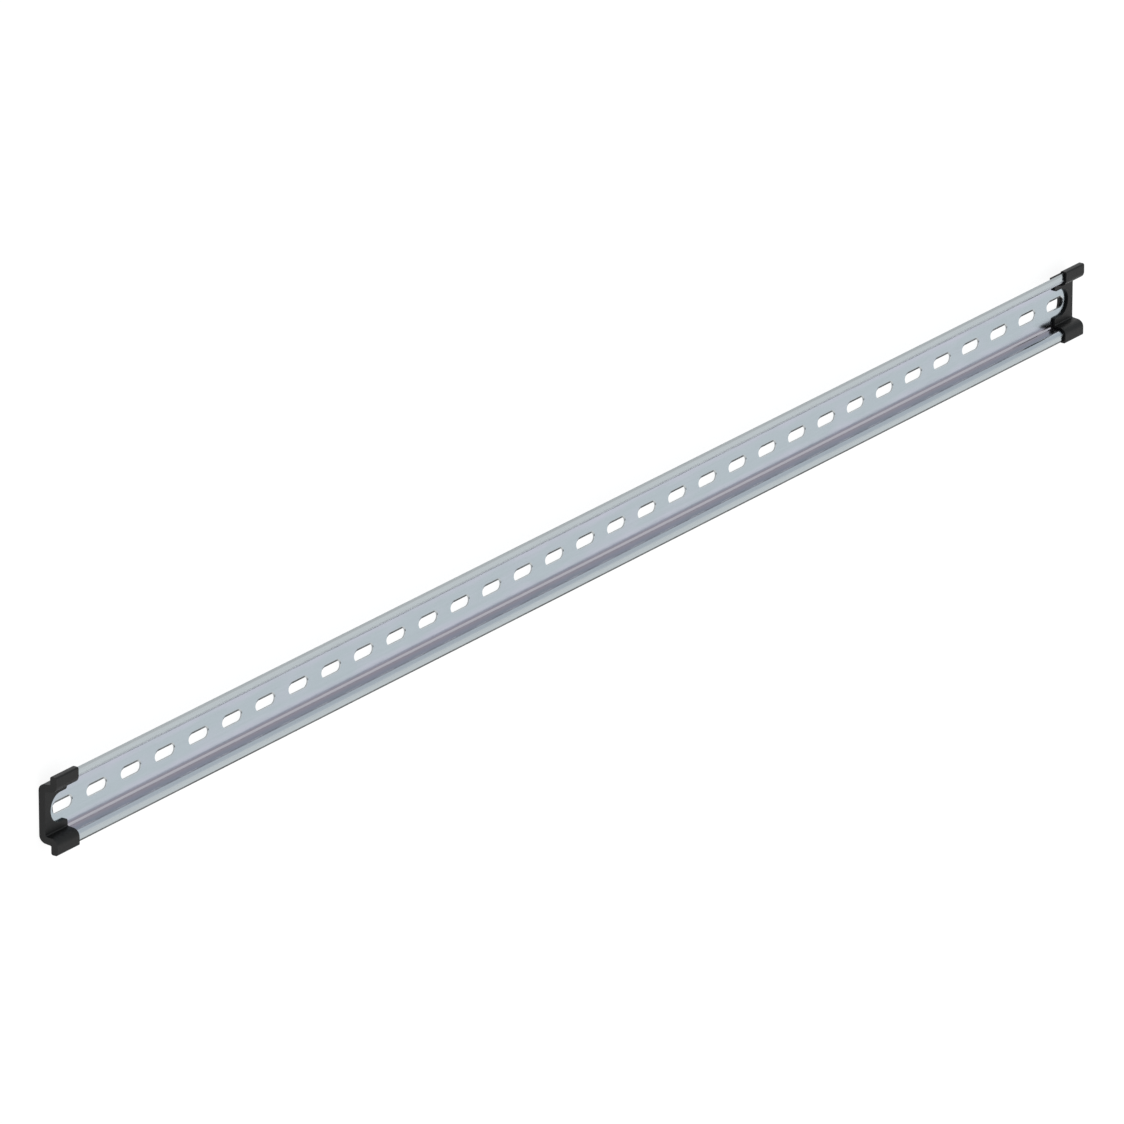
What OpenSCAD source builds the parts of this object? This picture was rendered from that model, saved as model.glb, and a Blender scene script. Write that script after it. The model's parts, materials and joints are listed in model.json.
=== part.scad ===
// Slotted top-hat mounting rail with a slip-on end cap at each end.
// Lies on its back along X, channel mouth up; the caps' backs rest on z = 0.

/* [Part] */

// What to show

/* [Rail] */

// Length of the rail, mm: one slot pitch for each slot
rail_length = 825; // [100:25:2000]

// Width over both flanges, mm
rail_width = 35; // [25:0.5:50]

// Depth from the flange fronts to the back of the web, mm
rail_depth = 7.5; // [5:0.5:15]

// Thickness of the sheet, mm
sheet = 1; // [0.8:0.1:2]

// Clear width of the channel between the side walls, mm
channel_width = 25; // [15:0.5:30]

// Inside radius of each bend, mm
bend_r = 0.8; // [0.2:0.1:1.2]

/* [Slots] */

// Distance from one slot to the next, mm
slot_pitch = 25; // [20:1:50]

// Overall length of a slot, mm
slot_length = 15; // [8:0.5:25]

// Width of a slot, mm
slot_width = 6.2; // [4:0.1:8]

/* [End caps] */

// Gap between the sheet and the cap round it, mm
cap_clearance = 0.1; // [0.05:0.05:0.3]

// Thickness of the cap's front and back skins, mm
cap_skin = 1.15; // [0.8:0.05:2]

// Thickness of the cap over the flange edges, mm
cap_edge = 0.9; // [0.6:0.1:2]

// Thickness of the wall across the rail's end, mm
cap_end = 1.5; // [1:0.1:3]

// Length of rail that goes into a cap, mm
cap_reach = 14.5; // [8:0.5:30]

// Width of the notch that leaves the last slot free, mm
notch_width = 14; // [8:0.2:20]

// Plastic left between the front notch and the cap's closed end, mm
notch_web = 4; // [2:0.5:8]

// Plastic left between the back skin's notch and the cap's closed end, mm
back_notch_web = 8.5; // [2:0.5:10]

// Radius of the corners at the notch's mouth, mm
notch_corner_r = 1.2; // [0.4:0.1:2]

// How far the tongue behind one flange reaches past the cap's mouth, mm
tongue_length = 9.6; // [2:0.2:14]

// Radius of the cap's rounded corners, mm
cap_corner_r = 0.5; // [0.2:0.1:0.8]

/* [Hidden] */

$fn = 48;

zinc = [0.76, 0.78, 0.80];
black = [0.10, 0.10, 0.11];

cut = 1;                                              // how far a cutter runs past what it cuts
slot_count = floor(rail_length / slot_pitch);
slot_first = -(slot_count - 1) * slot_pitch / 2;      // middle of the first slot
cap_wrap = cap_clearance + cap_skin;                  // sheet face to the cap's outside
rail_z = cap_wrap;                                    // back of the web above the floor
rail_end = rail_length / 2;
pocket_flange = cap_clearance;                        // pocket past each flange edge
cap_flange = cap_clearance + cap_edge;                // cap past each flange edge

// a trough cut down from the line y = 0: round bottom corners, mouth flared by quarter rounds
module trough(width, depth, mouth_r, floor_r) {
  translate([-width / 2, floor_r - depth]) square([width, depth - floor_r + cut]);
  if (width > 2 * floor_r)
    translate([floor_r - width / 2, -depth]) square([width - 2 * floor_r, depth]);
  for (side = [0, 1]) mirror([side, 0]) {
    translate([width / 2 - floor_r, floor_r - depth]) circle(floor_r);
    difference() {
      translate([width / 2, -mouth_r]) square([mouth_r, mouth_r + cut]);
      translate([width / 2 + mouth_r, -mouth_r]) circle(mouth_r);
    }
  }
}

// blank of the hat: a plain bar with its four corners rounded
module bar(width, low, high, corner_r) {
  if (corner_r > 0) {
    translate([-width / 2, low + corner_r]) square([width, high - low - 2 * corner_r]);
    translate([corner_r - width / 2, low]) square([width - 2 * corner_r, high - low]);
    for (x = [-1, 1]) for (y = [low + corner_r, high - corner_r])
      translate([x * (width / 2 - corner_r), y]) circle(corner_r);
  } else {
    translate([-width / 2, low]) square([width, high - low]);
  }
}

// the room behind the flanges, beside a section whose faces are moved out by grow
module flanks(grow, half) {
  tight_r = max(bend_r - grow, cap_corner_r);
  wide_r = bend_r + sheet + grow;
  wall = channel_width / 2 + sheet + grow;            // outer face of a side wall
  side = 2 * (half - wall) + 2 * cut;                 // wide enough to run out past the edge
  for (s = [-1, 1]) translate([s * (wall + side / 2), -grow]) mirror([0, 1])
    trough(side, rail_depth - sheet, wide_r, tight_r);
}

// the hat section, its faces moved out by grow and its flange edges by edge
module hat(grow, edge, corner_r) {
  half = rail_width / 2 + edge;
  translate([0, rail_z]) difference() {
    bar(2 * half, -grow, rail_depth + grow, corner_r);
    translate([0, rail_depth + grow])
      trough(channel_width - 2 * grow, rail_depth - sheet,
             bend_r + sheet + grow, max(bend_r - grow, cap_corner_r));
    flanks(grow, half);
  }
}

// section of the tongue: flat against the flange's back, from the bend's end to the edge of the pocket
module tongue() {
  inner = channel_width / 2 + sheet + bend_r;
  outer = rail_width / 2 + pocket_flange;
  translate([inner, rail_z + rail_depth - sheet - cap_wrap]) square([outer - inner, cap_skin]);
}

// a section drawn across the rail, run along X from one station to another
module run(from, to) {
  translate([from, 0, 0]) rotate([90, 0, 90]) linear_extrude(to - from) children();
}

module slot(length, width) {
  straight = length - width;
  translate([-straight / 2, -width / 2]) square([straight, width]);
  for (s = [-1, 1]) translate([s * straight / 2, 0]) circle(width / 2);
}

module rail() {
  color(zinc) difference() {
    run(-rail_end, rail_end) hat(0, 0, 0);
    for (i = [0 : slot_count - 1])
      translate([slot_first + i * slot_pitch, 0, rail_z - cut])
        linear_extrude(sheet + 2 * cut) slot(slot_length, slot_width);
  }
}

// cutter for a notch that runs along X from its mouth, between two heights
module notch(mouth, deepest, low, high) {
  depth = deepest - mouth;
  floor_r = min(notch_width / 2, depth - notch_corner_r);
  translate([mouth, 0, low]) rotate(90) linear_extrude(high - low)
    trough(notch_width, depth, notch_corner_r, floor_r);
}

// the cap on the rail's right end
module cap() {
  mouth = rail_end - cap_reach;                       // where the rail goes in
  closed = rail_end + cap_end;
  sheet_middle = rail_z + sheet / 2;
  color(black) difference() {
    union() {
      difference() {
        run(mouth, closed) hat(cap_wrap, cap_flange, cap_corner_r);
        run(mouth - cut, rail_end) hat(cap_clearance, pocket_flange, 0);
      }
      run(mouth - tongue_length, mouth + cut) tongue();
    }
    notch(mouth, closed - notch_web, sheet_middle, rail_z + sheet + cap_wrap + cut);
    notch(mouth, closed - back_notch_web, -cut, sheet_middle);
  }
}

module end_cap_right() { cap(); }

module end_cap_left() { rotate(180) cap(); }

rail();
end_cap_left();
end_cap_right();
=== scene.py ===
import json
import math

import bmesh
import bpy
from mathutils import Matrix, Vector


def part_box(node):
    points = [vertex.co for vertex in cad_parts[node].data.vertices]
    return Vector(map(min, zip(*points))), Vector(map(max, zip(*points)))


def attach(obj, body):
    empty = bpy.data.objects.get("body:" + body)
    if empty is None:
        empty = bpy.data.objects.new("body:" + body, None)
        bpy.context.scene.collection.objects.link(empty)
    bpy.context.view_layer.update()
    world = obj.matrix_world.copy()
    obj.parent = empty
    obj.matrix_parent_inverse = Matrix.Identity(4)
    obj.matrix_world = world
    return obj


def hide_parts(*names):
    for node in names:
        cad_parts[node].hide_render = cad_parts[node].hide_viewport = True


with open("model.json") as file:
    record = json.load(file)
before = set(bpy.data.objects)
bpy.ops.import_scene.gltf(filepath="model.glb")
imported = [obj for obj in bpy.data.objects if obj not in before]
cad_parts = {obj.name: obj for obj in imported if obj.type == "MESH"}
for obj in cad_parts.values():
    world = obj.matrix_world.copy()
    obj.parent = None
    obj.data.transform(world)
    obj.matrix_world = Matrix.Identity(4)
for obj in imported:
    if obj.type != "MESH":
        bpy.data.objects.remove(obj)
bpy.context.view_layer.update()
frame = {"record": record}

mm = 0.001
tiny = 1e-6                                              # millimetres that count as nothing
weld = 1e-6                                              # metres within which two corners are one
bpy.context.scene.view_settings.view_transform = "Standard"


def arc(centre, radius, start, stop, steps):
    # points on a round stretch, angles in degrees
    angles = [math.radians(start + (stop - start) * i / steps) for i in range(steps + 1)]
    return [(centre[0] + radius * math.cos(a), centre[1] + radius * math.sin(a)) for a in angles]


def addRow(mesh, points):
    # corners given in millimetres
    return [mesh.verts.new(Vector(point) * mm) for point in points]


def addStrip(mesh, rowA, rowB, finish=0, closed=False):
    # a band of quads between two rows of corners
    count = len(rowA)
    for i in range(count if closed else count - 1):
        j = (i + 1) % count
        mesh.faces.new((rowA[i], rowA[j], rowB[j], rowB[i])).material_index = finish


def newPiece(name, mesh, materials):
    data = bpy.data.meshes.new(name)
    mesh.to_mesh(data)
    mesh.free()
    for material in materials:
        data.materials.append(material)
    piece = bpy.data.objects.new(name, data)
    bpy.context.scene.collection.objects.link(piece)
    return piece


def smoothFaces(piece, angle):
    piece.data.shade_smooth()
    piece.data.set_sharp_from_angle(angle=math.radians(angle))
    weighted = piece.modifiers.new("Weighted normals", "WEIGHTED_NORMAL")
    weighted.keep_sharp = True


def plug(tree, socket, value):
    # a socket takes either a link or a plain value
    if isinstance(value, bpy.types.NodeSocket):
        tree.links.new(value, socket)
    elif value is not None:
        socket.default_value = value


def doMath(tree, operation, first, second=None, clamp=False):
    node = tree.nodes.new("ShaderNodeMath")
    node.operation = operation
    node.use_clamp = clamp
    plug(tree, node.inputs[0], first)
    plug(tree, node.inputs[1], second)
    return node.outputs[0]


def remap(tree, value, fromLow, fromHigh, toLow=0.0, toHigh=1.0, smooth=False):
    node = tree.nodes.new("ShaderNodeMapRange")
    node.interpolation_type = "SMOOTHSTEP" if smooth else "LINEAR"
    for socket, entry in zip(node.inputs, (value, fromLow, fromHigh, toLow, toHigh)):
        plug(tree, socket, entry)
    return node.outputs[0]


def mixColours(tree, factor, first, second):
    node = tree.nodes.new("ShaderNodeMix")
    node.data_type = "RGBA"
    plug(tree, node.inputs["Factor"], factor)
    plug(tree, node.inputs[6], first)
    plug(tree, node.inputs[7], second)
    return node.outputs[2]


def stretchedNoise(tree, where, stretch, detail=3.0):
    # noise whose scale is given per metre along X, Y and Z
    scaled = tree.nodes.new("ShaderNodeVectorMath")
    scaled.operation = "MULTIPLY"
    plug(tree, scaled.inputs[0], where)
    plug(tree, scaled.inputs[1], stretch)
    noise = tree.nodes.new("ShaderNodeTexNoise")
    noise.inputs["Scale"].default_value = 1.0
    noise.inputs["Detail"].default_value = detail
    plug(tree, noise.inputs["Vector"], scaled.outputs[0])
    return noise.outputs["Fac"]


def objectPlace(tree):
    # where a point is on the object, in metres
    return tree.nodes.new("ShaderNodeTexCoord").outputs["Object"]


def addRelief(tree, shader, height, strength, depth):
    relief = tree.nodes.new("ShaderNodeBump")
    relief.inputs["Strength"].default_value = strength
    relief.inputs["Distance"].default_value = depth
    plug(tree, relief.inputs["Height"], height)
    plug(tree, shader.inputs["Normal"], relief.outputs[0])


def newGroup(name, inputs, outputs):
    group = bpy.data.node_groups.new(name, "ShaderNodeTree")
    for label, kind, value in inputs:
        socket = group.interface.new_socket(label, in_out="INPUT", socket_type=kind)
        socket.default_value = value
    for label, kind in outputs:
        group.interface.new_socket(label, in_out="OUTPUT", socket_type=kind)
    return group, group.nodes.new("NodeGroupInput"), group.nodes.new("NodeGroupOutput")


def useGroup(tree, group, **values):
    node = tree.nodes.new("ShaderNodeGroup")
    node.node_tree = group
    for label, value in values.items():
        node.inputs[label].default_value = value
    return node


def newMaterial(name):
    material = bpy.data.materials.new(name)
    material.use_nodes = True
    tree = material.node_tree
    return material, tree, tree.nodes["Principled BSDF"]


# Effects that several finishes share. Noise scales are per metre.

grainSpecs = {
    "across": {"Coarse": 900.0, "Fine": 4200.0},
    "along": {"Coarse": 18.0, "Fine": 110.0},
    "detail": 2.0,
    "ramp": (0.7, 1.3),                                  # of the two layers' sum
}


def makeRollGrain():
    # fine streaks that the rolling mill leaves along the sheet
    s = grainSpecs
    group, start, end = newGroup(
        "rollGrain",
        [(label, "NodeSocketFloat", scale) for label, scale in s["across"].items()],
        [("Streaks", "NodeSocketFloat"), ("Height", "NodeSocketFloat")],
    )
    where = objectPlace(group)
    layers = []
    for label, along in s["along"].items():
        stretch = group.nodes.new("ShaderNodeCombineXYZ")
        stretch.inputs["X"].default_value = along
        plug(group, stretch.inputs["Y"], start.outputs[label])
        plug(group, stretch.inputs["Z"], start.outputs[label])
        layers.append(stretchedNoise(group, where, stretch.outputs[0], s["detail"]))
    both = doMath(group, "ADD", *layers)
    plug(group, end.inputs["Streaks"], remap(group, both, *s["ramp"]))
    plug(group, end.inputs["Height"], layers[-1])
    return group


tintSpecs = {                                            # ramps are metres from the rail's middle line
    "Lilac": (0.0050, 0.0090),
    # Rose and Brow are partly the zinc's own tint and partly painted light: a brighter colour on the foot
    # bend, the wall and the brow
    "Rose": (0.0090, 0.0108),
    "Brow": (0.0119, 0.0124),
    "Flange": (0.0134, 0.0144),
    "mostLilac": 0.8,
    "stretchStart": (0.0129, 0.0132),
    "stretchEnd": (0.0146, 0.0143),
    "cloud": (40.0, 110.0, 110.0),
    "cloudRamp": (0.3, 0.7, -0.5, 0.5),
    "drift": 0.8,                                        # how much the clouds shift cool and lilac
    "unset": (0.5, 0.5, 0.5, 1),
}
tintLabels = ("Cool", "Lilac", "Rose", "Brow", "Flange")


def makeZincTint():
    # cool on the web, lilac then rose towards its bends, and other shades on the brows and flanges; the
    # brighter rose and brow are partly painted light
    s = tintSpecs
    inputs = [(label, "NodeSocketColor", s["unset"]) for label in tintLabels]
    inputs.append(("Drift", "NodeSocketFloat", s["drift"]))
    outputs = [("Color", "NodeSocketColor"), ("Stretch", "NodeSocketFloat")]
    group, start, end = newGroup("zincTint", inputs, outputs)
    where = objectPlace(group)
    split = group.nodes.new("ShaderNodeSeparateXYZ")
    plug(group, split.inputs[0], where)
    across = doMath(group, "ABSOLUTE", split.outputs["Y"])
    cloud = remap(group, stretchedNoise(group, where, s["cloud"]), *s["cloudRamp"])
    drift = doMath(group, "MULTIPLY", cloud, start.outputs["Drift"])
    nearBend = remap(group, across, *s["Lilac"], 0.0, s["mostLilac"], smooth=True)
    lilac = doMath(group, "ADD", nearBend, drift, clamp=True)
    colour = mixColours(group, lilac, start.outputs["Cool"], start.outputs["Lilac"])
    # the rose and brow shares paint extra light onto the foot bend, the wall and the brow
    for label in ("Rose", "Brow", "Flange"):
        share = remap(group, across, *s[label], smooth=True)
        colour = mixColours(group, share, colour, start.outputs[label])
    plug(group, end.inputs["Color"], colour)
    inner, outer = (remap(group, across, *s[label]) for label in ("stretchStart", "stretchEnd"))
    plug(group, end.inputs["Stretch"], doMath(group, "MULTIPLY", inner, outer))
    return group


smudgeSpecs = {
    "size": 60.0,
    "detail": 4.0,
    "ramp": (0.42, 0.62),
}


def makeSmudges():
    # faint cloudy patches left by handling
    s = smudgeSpecs
    group, start, end = newGroup(
        "smudges", [("Size", "NodeSocketFloat", s["size"])], [("Mask", "NodeSocketFloat")]
    )
    wide = stretchedNoise(group, objectPlace(group), start.outputs["Size"], s["detail"])
    plug(group, end.inputs["Mask"], remap(group, wide, *s["ramp"], smooth=True))
    return group


rollGrain = makeRollGrain()
zincTint = makeZincTint()
smudges = makeSmudges()
print("stage: shared effects ready")


zincSpecs = {
    "cool": (0.475, 0.543, 0.587, 1),
    "lilac": (0.540, 0.563, 0.650, 1),
    # rose and brow are brighter than the web: partly the zinc's tint, partly painted light on the foot
    # bend, the wall and the brow
    "rose": (0.630, 0.588, 0.636, 1),
    "brow": (0.560, 0.600, 0.655, 1),
    "flange": (0.520, 0.572, 0.595, 1),
    "roughness": (0.12, 0.18),
    "bump": 0.12,
    "cutCool": (0.46, 0.49, 0.51, 1),
    "cutRoughness": (0.42, 0.62),
    "cutBump": 0.5,
    "rollCool": (0.53, 0.56, 0.57, 1),                   # where a blade or punch has rubbed the plate thin
    "rollRoughness": (0.10, 0.16),
    "rollBump": 0.1,
    "browMatt": 0.20,                                    # stretched plate over the flange bends is duller
    "smudgeSize": 55.0,
    "smudgeMatt": 0.03,
    "streakShare": 0.10,                                 # how much of the streaks' own colour shows
    "streakColour": (0.30, 0.32, 0.34, 1),
    "reliefDepth": 0.00002,                              # metres
}


def makeZinc(name, colours, roughness, bump):
    s = zincSpecs
    material, tree, shader = newMaterial(name)
    tint = useGroup(tree, zincTint, **colours)
    grain = useGroup(tree, rollGrain)
    marks = useGroup(tree, smudges, Size=s["smudgeSize"])
    rough = remap(tree, grain.outputs["Streaks"], 0.0, 1.0, *roughness)
    for mask, more in ((marks.outputs["Mask"], s["smudgeMatt"]), (tint.outputs["Stretch"], s["browMatt"])):
        rough = doMath(tree, "ADD", rough, doMath(tree, "MULTIPLY", mask, more))
    plug(tree, shader.inputs["Roughness"], rough)
    shade = remap(tree, grain.outputs["Streaks"], 0.0, 1.0, 0.0, s["streakShare"])
    colour = mixColours(tree, shade, tint.outputs["Color"], s["streakColour"])
    plug(tree, shader.inputs["Base Color"], colour)
    shader.inputs["Metallic"].default_value = 1.0
    addRelief(tree, shader, grain.outputs["Height"], bump, s["reliefDepth"])
    return material


plasticSpecs = {
    "dark": (0.0030, 0.0030, 0.0032, 1),
    "pale": (0.0055, 0.0055, 0.0058, 1),
    "mostPale": 0.5,
    "roughness": (0.42, 0.55),
    "specular": 0.35,
    "smudgeSize": 140.0,
    "grain": (2600.0, 2600.0, 2600.0),
    "grainDetail": 2.0,
    "grainRamp": (0.3, 0.7),
    "bump": 0.25,
    "reliefDepth": 0.00004,                              # metres
}


def makePlastic(name):
    s = plasticSpecs
    material, tree, shader = newMaterial(name)
    grain = stretchedNoise(tree, objectPlace(tree), s["grain"], s["grainDetail"])
    marks = useGroup(tree, smudges, Size=s["smudgeSize"])
    tone = remap(tree, marks.outputs["Mask"], 0.0, 1.0, 0.0, s["mostPale"])
    plug(tree, shader.inputs["Base Color"], mixColours(tree, tone, s["dark"], s["pale"]))
    plug(tree, shader.inputs["Roughness"], remap(tree, grain, *s["grainRamp"], *s["roughness"]))
    shader.inputs["Specular IOR Level"].default_value = s["specular"]
    addRelief(tree, shader, grain, s["bump"], s["reliefDepth"])
    return material


def makeEdgeZinc(name, edge):
    # a cut or rolled edge has one colour all over
    colours = {label: zincSpecs[edge + "Cool"] for label in tintLabels}
    return makeZinc(name, colours, zincSpecs[edge + "Roughness"], zincSpecs[edge + "Bump"])


sheetColours = {label: zincSpecs[label.lower()] for label in tintLabels}
zincSheet = makeZinc("zincSheet", sheetColours, zincSpecs["roughness"], zincSpecs["bump"])
zincCut = makeEdgeZinc("zincCut", "cut")
zincRoll = makeEdgeZinc("zincRoll", "roll")
capPlastic = makePlastic("capPlastic")
print("stage: finishes ready")


railLow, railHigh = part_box("rail")
railBase = railLow.z / mm                                # the web's back
railHalf = railHigh.y / mm                               # half of the width over the flanges
railDepth = (railHigh.z - railLow.z) / mm
railEnd = railHigh.x / mm
slotMount = next(m for m in frame["record"]["mounts"] if m["kind"] == "bolt_pattern")

railSpecs = {
    "sheet": 1.0,
    "channel": 24.3,                                     # clear width between the tops of the side walls
    "bend": 1.15,                                        # inside radius of each bend
    "lean": 0.45,                                        # how far each wall's foot stands in from its top
    "slotPitch": 25.0,
    "slotRadius": slotMount["dims"]["hole_r_mm"],
    "slotLength": slotMount["dims"]["slot_length_mm"],
    "holeLength": 14.5,                                  # what stays open inside the slot's rolled edge
    "holeWidth": 4.95,
    "holeShift": (0.20, -0.54),
    "rollDeep": 0.31,                                    # how far a slot's rolled edge drops from the face
    "rollCurve": 1.05,                                   # 1 is a plain slope
    "rollSteps": 6,
    "edgeDeep": 0.30,                                    # drop and width of the roll along the flanges
    "edgeWide": 1.1,
    "edgeBack": 0.12,                                    # rounding at the back of a flange edge
    "edgeBackSteps": 2,
    "tear": 0.35,                                        # height of the torn zone at the back of a cut
    "tearOut": 0.05,
    "footSteps": 5,
    "browSteps": 18,
    "backBrowSteps": 5,
    "backFootSteps": 8,
    "flankSteps": 4,                                     # round half a slot, on either side of the next
    "roundSteps": 12,
    "straight": (0.5, 0.0, -0.5),                        # corners along a slot's straight
    "smoothAngle": 38,
}
sheetFinish, cutFinish, rollFinish = range(3)


def rollDrop(share):
    # drop of a rolled edge, as a share of its depth, from where it leaves the face
    return share ** railSpecs["rollCurve"]


def leanIn(points):
    # the walls lean, so the section narrows towards the web's back
    reach = railDepth - 2 * railSpecs["sheet"]
    moved = []
    for y, z in points:
        below = min(max(railDepth - railSpecs["sheet"] - z, 0), reach)
        moved.append((y - railSpecs["lean"] * below / reach, z))
    return moved


def hatSide(grow, half, edge, tightLeast=0.0):
    # one half of the hat section that rail and caps share, as (y, z) corners: it runs from the web's front
    # round the flange edge to the web's back, and lies outside the sheet by grow
    s = railSpecs
    wall, sheet = s["channel"] / 2, s["sheet"]
    tight = max(s["bend"] - grow, tightLeast)
    wide = s["bend"] + sheet
    step = railDepth - sheet
    foot = (wall - grow - tight, sheet + grow + tight)
    brow = (wall + wide, step - s["bend"])
    backBrow = (wall + sheet + grow + tight, step - grow - tight)
    backFoot = (wall - s["bend"], sheet + s["bend"])
    return {
        "frontFoot": leanIn(arc(foot, tight, -90, 0, s["footSteps"])),
        "frontBrow": leanIn(arc(brow, wide + grow, 180, 90, s["browSteps"])),
        "edge": [(half + y, z) for y, z in edge],
        "backBrow": leanIn(arc(backBrow, tight, 90, 180, s["backBrowSteps"])),
        "backFoot": leanIn(arc(backFoot, wide + grow, 0, -90, s["backFootSteps"])),
    }


def rolledEdge():
    # the rail's slit edge, measured from its outermost line: rolled over at the front, rounded at the back
    s = railSpecs
    roll = []
    for i in range(s["rollSteps"] + 1):
        share = i / s["rollSteps"]
        roll.append(((share - 1) * s["edgeWide"], railDepth - s["edgeDeep"] * rollDrop(share)))
    back = railDepth - s["sheet"] + s["edgeBack"]
    return roll + arc((-s["edgeBack"], back), s["edgeBack"], 0, -90, s["edgeBackSteps"])


def slotAngles(cornerAngle):
    # angles round half a slot, with one that points at the corner of the slot's own stretch of web
    flank, middle = railSpecs["flankSteps"], railSpecs["roundSteps"]
    low = [-90 + (90 - cornerAngle) * i / flank for i in range(flank)]
    mid = [-cornerAngle + 2 * cornerAngle * i / middle for i in range(middle)]
    high = [cornerAngle + (90 - cornerAngle) * i / flank for i in range(flank + 1)]
    return [math.radians(a) for a in low + mid + high]


def slotRing(angles, length, width, shift=(0, 0)):
    # corners round a slot with full round ends
    radius = width / 2
    reach = length / 2 - radius
    ring = []
    for turn in (1, -1):
        for a in angles:
            ring.append((turn * (reach + radius * math.cos(a)), turn * radius * math.sin(a)))
        ring += [(turn * reach * share, turn * radius) for share in railSpecs["straight"]]
    return [(x + shift[0], y + shift[1]) for x, y in ring]


def cellRing(angles, reach, halfPitch, halfWidth):
    # the matching corners round the slot's own stretch of web
    ring = []
    for turn in (1, -1):
        for a in angles:
            farX = (halfPitch - reach) / max(math.cos(a), tiny)
            far = min(farX, halfWidth / max(abs(math.sin(a)), tiny))
            ring.append((turn * (reach + far * math.cos(a)), turn * far * math.sin(a)))
        ring += [(turn * reach * share, turn * halfWidth) for share in railSpecs["straight"]]
    return ring


def between(a, b, share):
    return [p + (q - p) * share for p, q in zip(a, b)]


def slotLayers(cell, angles):
    # rings from the web's front down through a slot to its back: corners, height, finish that follows
    s = railSpecs
    outline = slotRing(angles, s["slotLength"], 2 * s["slotRadius"])
    hole = slotRing(angles, s["holeLength"], s["holeWidth"], s["holeShift"])
    wider = 2 * s["tearOut"]
    torn = slotRing(angles, s["holeLength"] + wider, s["holeWidth"] + wider, s["holeShift"])
    layers = [(cell, s["sheet"], sheetFinish)]
    for i in range(s["rollSteps"] + 1):
        share = i / s["rollSteps"]
        mixed = [between(a, b, share) for a, b in zip(outline, hole)]
        finish = rollFinish if i < s["rollSteps"] else cutFinish
        layers.append((mixed, s["sheet"] - s["rollDeep"] * rollDrop(share), finish))
    return layers + [(hole, s["tear"], cutFinish), (torn, 0, sheetFinish), (cell, 0, sheetFinish)]


def sectionFinish(part, i):
    # finish of the strip that leads to a part's corner i
    if part != "edge" or i == 0:
        return sheetFinish
    return rollFinish if i <= railSpecs["rollSteps"] else cutFinish


def makeRail():
    s = railSpecs
    reach = s["slotLength"] / 2 - s["slotRadius"]        # slot middle to the centre of a round end
    webEdge = s["channel"] / 2 - s["bend"] - s["lean"]
    halfPitch = s["slotPitch"] / 2
    angles = slotAngles(math.degrees(math.atan2(webEdge, halfPitch - reach)))
    cell = cellRing(angles, reach, halfPitch, webEdge)
    layers = slotLayers(cell, angles)
    slotCount = round(2 * railEnd / s["slotPitch"])
    middles = [(i - (slotCount - 1) / 2) * s["slotPitch"] for i in range(slotCount)]

    mesh = bmesh.new()
    for middle in middles:
        last = None
        for ring, height, finish in layers:
            row = addRow(mesh, [(middle + x, y, railBase + height) for x, y in ring])
            if last:
                addStrip(mesh, last[0], row, last[1], closed=True)
            last = (row, finish)

    stations = sorted({round(x, 6) for x, y in cell if y > webEdge - tiny})
    along = [middle + x for middle in middles for x in stations[:-1]] + [railEnd]
    for turn in (1, -1):
        last = None
        for part, points in hatSide(0, railHalf, rolledEdge()).items():
            for i, (y, z) in enumerate(points):
                row = addRow(mesh, [(x, turn * y, railBase + z) for x in along])
                if last:
                    addStrip(mesh, last, row, sectionFinish(part, i))
                last = row

    bmesh.ops.remove_doubles(mesh, verts=mesh.verts, dist=weld)
    openEdges = [edge for edge in mesh.edges if edge.is_boundary]
    for face in bmesh.ops.holes_fill(mesh, edges=openEdges)["faces"]:
        face.material_index = cutFinish
    bmesh.ops.recalc_face_normals(mesh, faces=mesh.faces)
    rail = newPiece("slottedRail", mesh, [zincSheet, zincCut, zincRoll])
    smoothFaces(rail, s["smoothAngle"])
    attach(rail, "root")
    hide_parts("rail")
    print("stage: rail with", slotCount, "slots,", len(rail.data.polygons), "faces")


makeRail()


capSpecs = {
    "clearance": 0.10,                                   # sheet to plastic
    "cornerRound": 0.90,
    "pocketRound": 0.10,
    "insideRound": 0.50,
    "roundSteps": (4, 3),                                # at the front and the back of a lip
    "tongue": 9.6,                                       # how far the tongue behind one flange reaches
    "notchWidth": 14.0,
    "notchCorner": 1.2,                                  # rounding at each side of a notch's mouth
    "notchSteps": 12,
    "notchWeb": 4.0,                                     # plastic from the front notch to the closed end
    "backNotchWeb": 8.5,
    "edgeBevel": 0.30,
    "bevelSteps": 3,
    "bevelAngle": 40,
    "smoothAngle": 50,
    "past": 1.0,                                         # how far a cutting shape runs on into the air
}


def hatOutline(grow, half, corner, tightLeast=0.0):
    # the whole section as one closed loop, with flange edges whose two corners are rounded
    front, back = railDepth + grow - corner, railDepth - railSpecs["sheet"] - grow + corner
    frontSteps, backSteps = capSpecs["roundSteps"]
    edge = arc((-corner, front), corner, 90, 0, frontSteps)
    edge += arc((-corner, back), corner, 0, -90, backSteps)
    side = [p for part in hatSide(grow, half, edge, tightLeast).values() for p in part]
    return side + [(-y, z) for y, z in reversed(side)]


def makePrism(name, outline, axis, low, high):
    # a closed outline drawn out along X or Z
    mesh = bmesh.new()
    rows = []
    for at in (low, high):
        rows.append(addRow(mesh, [(at, a, b) if axis == "X" else (a, b, at) for a, b in outline]))
    addStrip(mesh, rows[0], rows[1], closed=True)
    for row in rows:
        mesh.faces.new(row)
    bmesh.ops.recalc_face_normals(mesh, faces=mesh.faces)
    return newPiece(name, mesh, [])


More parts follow.
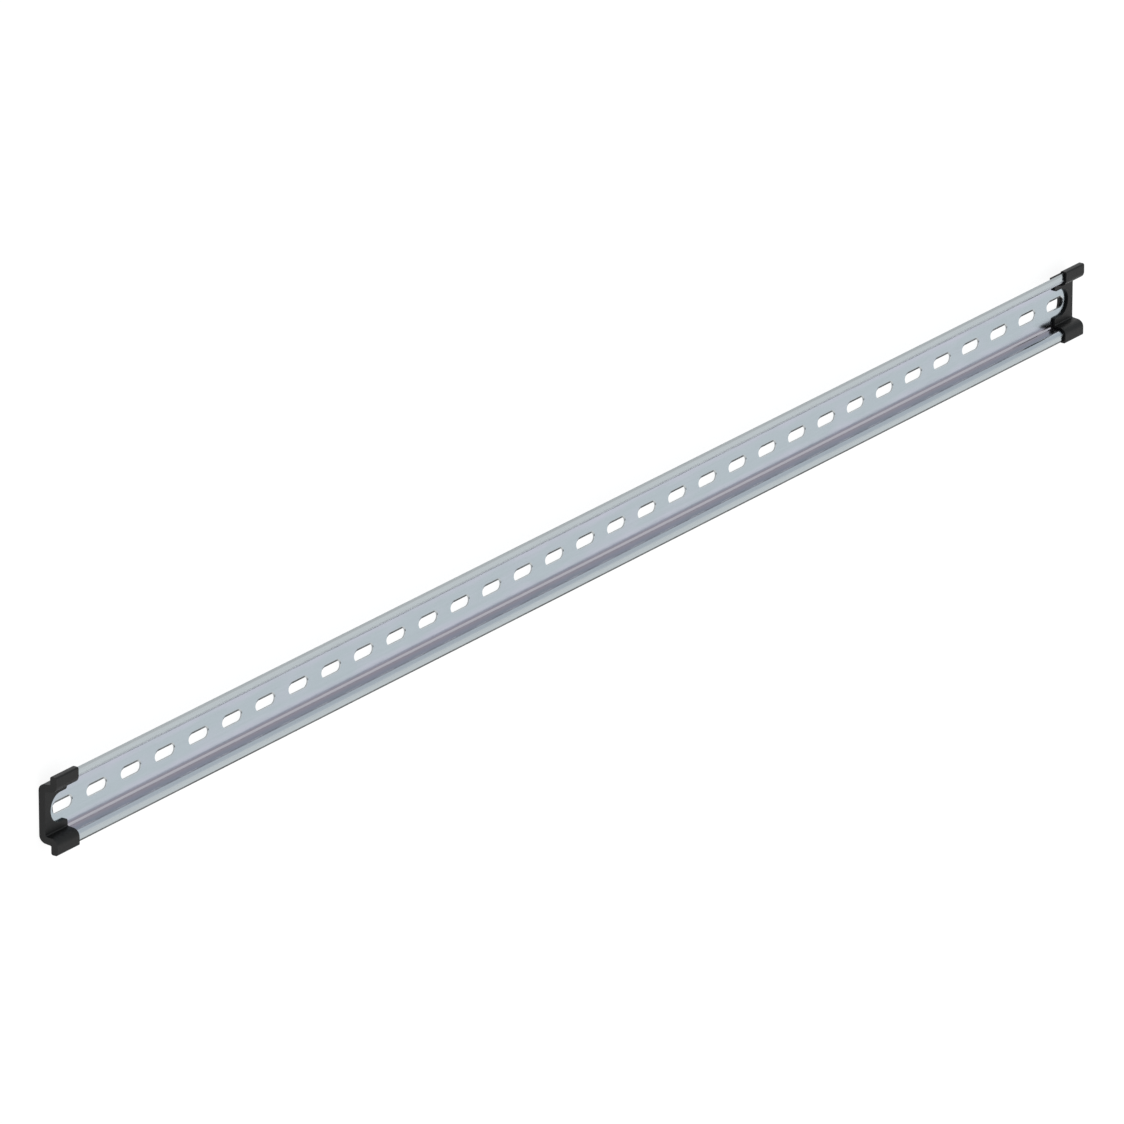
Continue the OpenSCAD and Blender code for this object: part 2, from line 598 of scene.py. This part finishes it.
def combine(body, tool, operation):
    # carves the tool out of the body, or joins the two, and deletes the tool
    change = body.modifiers.new("Combine", "BOOLEAN")
    change.operation = operation
    change.solver = "EXACT"
    change.object = tool
    solid = bpy.data.meshes.new_from_object(body.evaluated_get(bpy.context.evaluated_depsgraph_get()))
    body.modifiers.clear()
    body.data = solid
    bpy.data.objects.remove(tool)


def notchOutline(mouth, deepest, outward):
    # a notch drawn from beyond its mouth, in past the rounded corners, to its round floor and back
    half, corner, steps = capSpecs["notchWidth"] / 2, capSpecs["notchCorner"], capSpecs["notchSteps"]
    floorRound = min(half, abs(deepest - mouth) - corner)
    quarter = [math.pi / 2 * i / steps for i in range(steps + 1)]
    side = [(mouth - outward, half + corner)]
    for a in quarter[::2]:
        side.append((mouth + outward * corner * (1 - math.cos(a)), half + corner * (1 - math.sin(a))))
    for a in quarter:
        short = floorRound * (1 - math.sin(a))
        side.append((deepest - outward * short, half - floorRound * (1 - math.cos(a))))
    return side + [(x, -y) for x, y in reversed(side) if y > tiny]


def makeCap(side, outward):
    s = capSpecs
    node = "end_cap_" + side
    low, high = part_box(node)
    sheet, past = railSpecs["sheet"], s["past"]
    wrap = railBase - low.z / mm                         # sheet face to the cap's outside
    half, pocketHalf = max(high.y, -low.y) / mm, railHalf + s["clearance"]
    closed, tongueEnd = (high.x / mm, low.x / mm) if outward > 0 else (low.x / mm, high.x / mm)
    mouth = tongueEnd + outward * s["tongue"]

    shell = [(y, railBase + z) for y, z in hatOutline(wrap, half, s["cornerRound"], s["insideRound"])]
    pocket = [(y, railBase + z) for y, z in hatOutline(s["clearance"], pocketHalf, s["pocketRound"])]
    cap = makePrism("endCap" + side.capitalize(), shell, "X", mouth, closed)
    combine(cap, makePrism("pocket", pocket, "X", mouth - outward * past, outward * railEnd), "DIFFERENCE")

    flangeBack = railBase + railDepth - sheet
    inner, outer = outward * (railSpecs["channel"] / 2 + sheet + railSpecs["bend"]), outward * pocketHalf
    back, front = flangeBack - wrap, flangeBack - s["clearance"]
    tongue = [(inner, back), (outer, back), (outer, front), (inner, front)]
    combine(cap, makePrism("tongue", tongue, "X", tongueEnd, mouth + outward * past), "UNION")

    middle, top = railBase + sheet / 2, railBase + sheet + wrap + past
    for web, start, stop in ((s["notchWeb"], middle, top), (s["backNotchWeb"], -past, middle)):
        notch = notchOutline(mouth, closed - outward * web, outward)
        combine(cap, makePrism("notch", notch, "Z", start, stop), "DIFFERENCE")

    cap.data.materials.append(capPlastic)
    bevel = cap.modifiers.new("Moulded edges", "BEVEL")
    bevel.width = s["edgeBevel"] * mm
    bevel.segments = s["bevelSteps"]
    bevel.limit_method = "ANGLE"
    bevel.angle_limit = math.radians(s["bevelAngle"])
    bevel.use_clamp_overlap = True
    smoothFaces(cap, s["smoothAngle"])
    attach(cap, "root")
    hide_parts(node)
    print("stage: cap", side, len(cap.data.polygons), "faces")


makeCap("left", -1)
makeCap("right", 1)


studioSpecs = {
    "floorSize": 40.0,                                   # metres
    "floorColour": (0.82, 0.82, 0.82, 1),
    "floorRoughness": 0.9,
    "floorGlow": 0.90,                                   # how white the floor looks by itself
    "floorShade": 0.30,                                  # how much of the floor's own shading is kept
    "key": (0.95, 0.95, 0.95, 1),                        # light that the web reflects
    "fill": (0.655, 0.70, 0.715, 1),
    "fillToKey": (0.10, -0.2),                           # ramps are along the direction's X, Y or Z
    "gap": (0.12, 0.12, 0.12, 1),                        # a dark strip low on the -Y side
    "gapTop": (0.37, 0.32),
    "gapFoot": (0.20, 0.25),
    "gapSide": (-0.28, -0.44),
    "leftShare": 0.40,                                   # how bright the side beyond the left end is
    "leftRamp": (0.2, -0.5),
    "black": (0, 0, 0, 1),
    "white": (1, 1, 1, 1),
}


def makeFloor():
    s = studioSpecs
    mesh = bmesh.new()
    bmesh.ops.create_grid(mesh, x_segments=1, y_segments=1, size=s["floorSize"] / 2)
    material, tree, shader = newMaterial("paleFloor")
    shader.inputs["Roughness"].default_value = s["floorRoughness"]
    shader.inputs["Specular IOR Level"].default_value = 0.0
    path = tree.nodes.new("ShaderNodeLightPath").outputs
    seen = doMath(tree, "ADD", path["Is Camera Ray"], path["Is Glossy Ray"], clamp=True)
    seen = doMath(tree, "ADD", seen, path["Is Transmission Ray"], clamp=True)
    dimmed = tuple(part * s["floorShade"] for part in s["floorColour"][:3]) + (1,)
    plug(tree, shader.inputs["Base Color"], mixColours(tree, seen, s["floorColour"], dimmed))
    shader.inputs["Emission Color"].default_value = s["white"]
    plug(tree, shader.inputs["Emission Strength"], doMath(tree, "MULTIPLY", seen, s["floorGlow"]))
    newPiece("floor", mesh, [material])


def makeWorld():
    s = studioSpecs
    world = bpy.data.worlds.new("studio")
    bpy.context.scene.world = world
    world.use_nodes = True
    tree = world.node_tree
    split = tree.nodes.new("ShaderNodeSeparateXYZ")
    plug(tree, split.inputs[0], tree.nodes.new("ShaderNodeTexCoord").outputs["Generated"])
    along, across, up = (split.outputs[axis] for axis in "XYZ")
    light = mixColours(tree, remap(tree, across, *s["fillToKey"], smooth=True), s["fill"], s["key"])
    top, foot = (remap(tree, up, *s[name], smooth=True) for name in ("gapTop", "gapFoot"))
    strip = doMath(tree, "MULTIPLY", top, foot)
    gap = doMath(tree, "MULTIPLY", strip, remap(tree, across, *s["gapSide"], smooth=True))
    light = mixColours(tree, gap, light, s["gap"])
    left = remap(tree, along, *s["leftRamp"], 0.0, 1.0 - s["leftShare"], smooth=True)
    light = mixColours(tree, left, light, s["black"])
    path = tree.nodes.new("ShaderNodeLightPath").outputs
    light = mixColours(tree, path["Is Camera Ray"], light, s["white"])
    plug(tree, tree.nodes["Background"].inputs["Color"], light)


cameraSpecs = {
    "turn": 54.95,                                       # degrees from straight in front, to the left
    "rise": 20.74,                                       # degrees towards the +Y edge
    "distance": 5648.0,
    "lens": 390.9,
    "right": -16.2,                                      # where it aims, from the flange fronts' middle
    "up": -8.7,
    "clip": (0.1, 100),                                  # metres
}


def makeCamera():
    s = cameraSpecs
    turn, rise = math.radians(s["turn"]), math.radians(s["rise"])
    back = Vector((-math.sin(turn) * math.cos(rise), math.sin(rise), math.cos(turn) * math.cos(rise)))
    right = Vector((math.cos(turn), 0, math.sin(turn)))
    up = back.cross(right)
    aim = Vector((0, 0, railHigh.z)) + (right * s["right"] + up * s["up"]) * mm
    data = bpy.data.cameras.new("camera")
    data.lens = s["lens"]
    data.clip_start, data.clip_end = s["clip"]
    camera = bpy.data.objects.new("camera", data)
    bpy.context.scene.collection.objects.link(camera)
    turned = Matrix((right, up, back)).transposed().to_4x4()
    camera.matrix_world = Matrix.Translation(aim + back * s["distance"] * mm) @ turned
    bpy.context.scene.camera = camera


makeFloor()
makeWorld()
makeCamera()
print("stage: studio ready")
